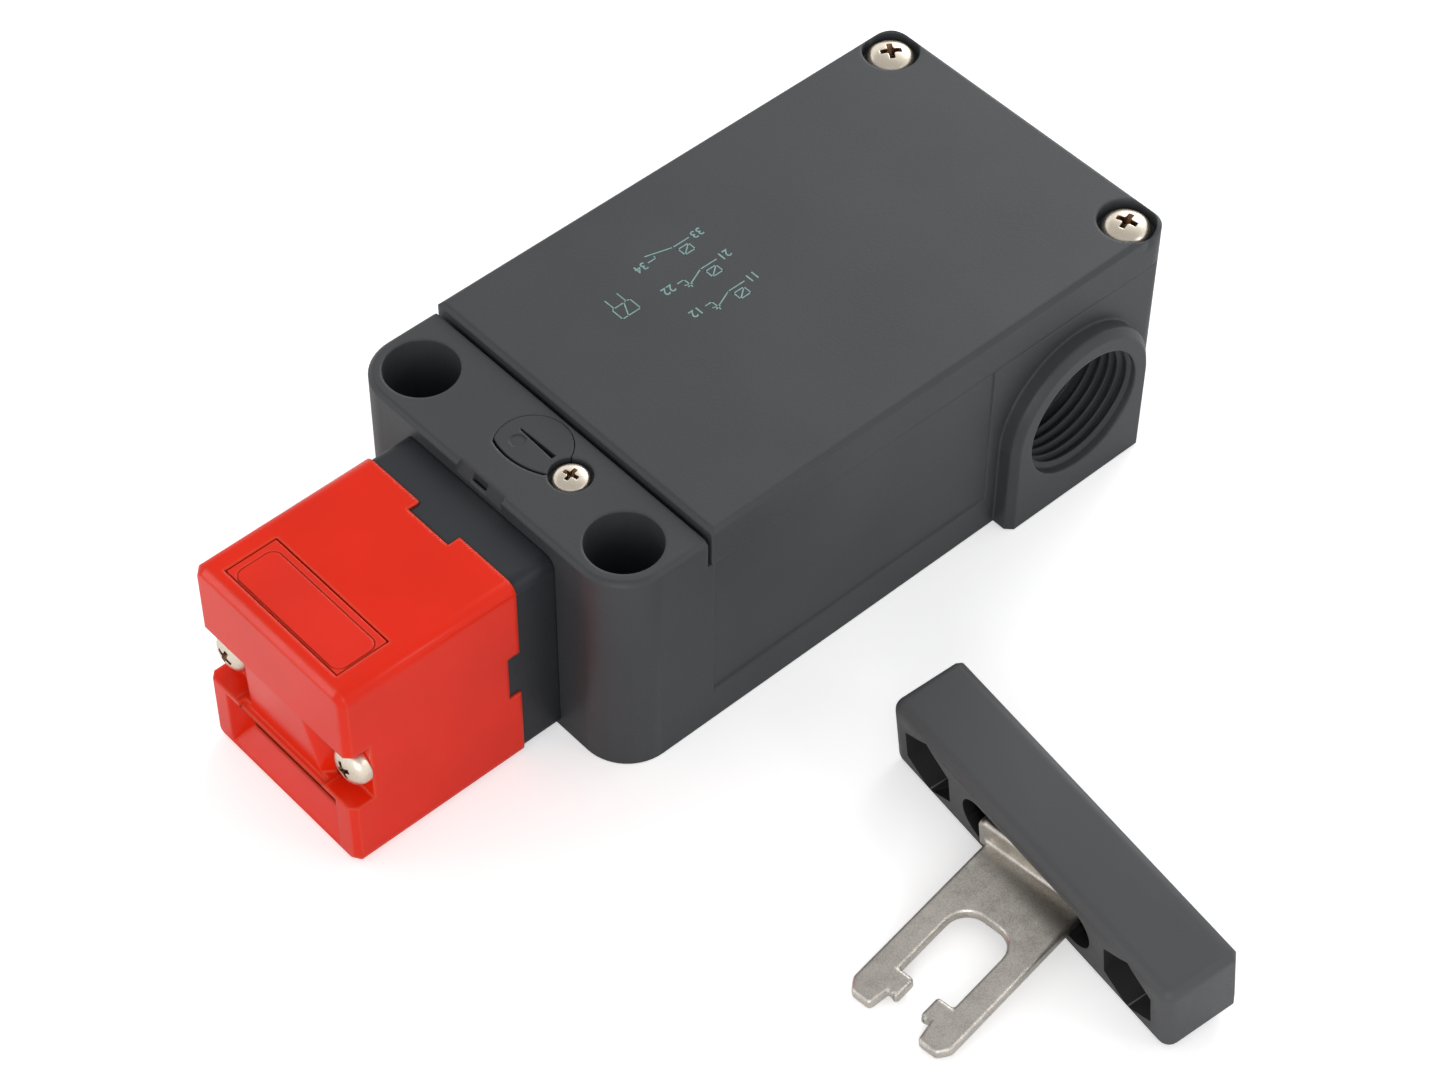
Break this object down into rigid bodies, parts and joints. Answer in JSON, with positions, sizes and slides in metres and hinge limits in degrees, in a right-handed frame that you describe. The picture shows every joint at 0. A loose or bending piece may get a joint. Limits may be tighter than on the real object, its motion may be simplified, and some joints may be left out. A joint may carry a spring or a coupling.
{
  "type": "tongue interlock switch",
  "caption": "Machine guard interlock switch with a red head that takes a separate steel tongue key, a dark moulded housing with a screwed cover, and threaded conduit entries.",
  "frame": {"origin": "midpoint of the two fixing holes, on the mounting face", "axes": "+Z out of the mounting face towards the cover, +X along the switch from the red head to the rear, -Y towards the conduit entry on the side where the key lies"},
  "size_m": [0.1355, 0.1344, 0.0376],
  "materials": {
    "housing_plastic": "fine-grained moulded dark grey",
    "cover_plastic": "fine-grained moulded dark grey",
    "seal_rubber": "smooth black rubber",
    "screw_steel": "bright turned steel",
    "head_red": "glossy red moulding",
    "plug_red": "satin red moulding",
    "neck_plastic": "smooth dark grey",
    "cam_steel": "machined steel",
    "bracket_steel": "zinc plated sheet",
    "pin_steel": "ground steel",
    "plunger_plastic": "natural moulding",
    "contact_plastic": "black moulding",
    "contact_brass": "stamped brass",
    "bobbin_plastic": "natural moulding",
    "coil_copper": "enamelled copper winding",
    "spring_steel": "drawn wire",
    "cap_plastic": "moulded dark grey",
    "key_plastic": "fine-grained moulded dark grey",
    "tongue_steel": "tumbled stamped steel"
  },
  "bodies": {
    "switch_body": {"housing": "housing_plastic", "head": "head_red", "head_screws": "screw_steel", "slot_plug": "plug_red", "neck": "neck_plastic", "cam_cradle": "bracket_steel", "cam_axle": "pin_steel", "contact_block": "contact_plastic", "fixed_contacts": "contact_brass", "terminal_screws": "screw_steel", "solenoid_yoke": "bracket_steel", "solenoid_bobbin": "bobbin_plastic", "solenoid_coil": "coil_copper", "coil_terminal": "contact_plastic", "release_cap": "cap_plastic", "release_screw": "screw_steel"},
    "cover": {"cover": "cover_plastic", "cover_gasket": "seal_rubber", "cover_screws": "screw_steel"},
    "cam": {"cam_wheel": "cam_steel"},
    "plunger": {"push_rod": "plunger_plastic", "contact_carrier": "plunger_plastic", "contact_bridges": "contact_brass", "return_spring": "spring_steel"},
    "lock": {"lock_bolt": "pin_steel", "lock_link": "bracket_steel", "armature": "pin_steel", "lock_spring": "spring_steel"},
    "key": {"key_block": "key_plastic", "key_backplate": "bracket_steel", "key_pivot": "pin_steel"},
    "tongue": {"key_tongue": "tongue_steel"}
  },
  "joints": [
    {"name": "cover_lift", "type": "slide", "parent": "switch_body", "child": "cover", "axis": [0, 0, 1], "range_m": [0, 0.03]},
    {"name": "cam_turn", "type": "hinge", "parent": "switch_body", "child": "cam", "pos_m": [-0.0268, 0, 0.0152], "axis": [0, -1, 0], "range_deg": [0, 40]},
    {"name": "plunger_slide", "type": "slide", "parent": "switch_body", "child": "plunger", "axis": [1, 0, 0], "range_m": [0, 0.004]},
    {"name": "lock_slide", "type": "slide", "parent": "switch_body", "child": "lock", "axis": [-1, 0, 0], "range_m": [0, 0.0025], "stiffness_N_per_m": 200},
    {"name": "key_stroke", "type": "slide", "parent": "switch_body", "child": "key", "axis": [-0.9961, -0.0886, 0], "range_m": [0, 0.028]},
    {"name": "tongue_swivel", "type": "hinge", "parent": "key", "child": "tongue", "pos_m": [0.02378, -0.0752, 0.00694], "axis": [-0.1157, 0.0148, 0.9932], "range_deg": [-24.6, 0]}
  ],
  "couplings": [
    {"joint": "plunger_slide", "follows": "cam_turn", "m_per_rad": 0.0057296}
  ]
}
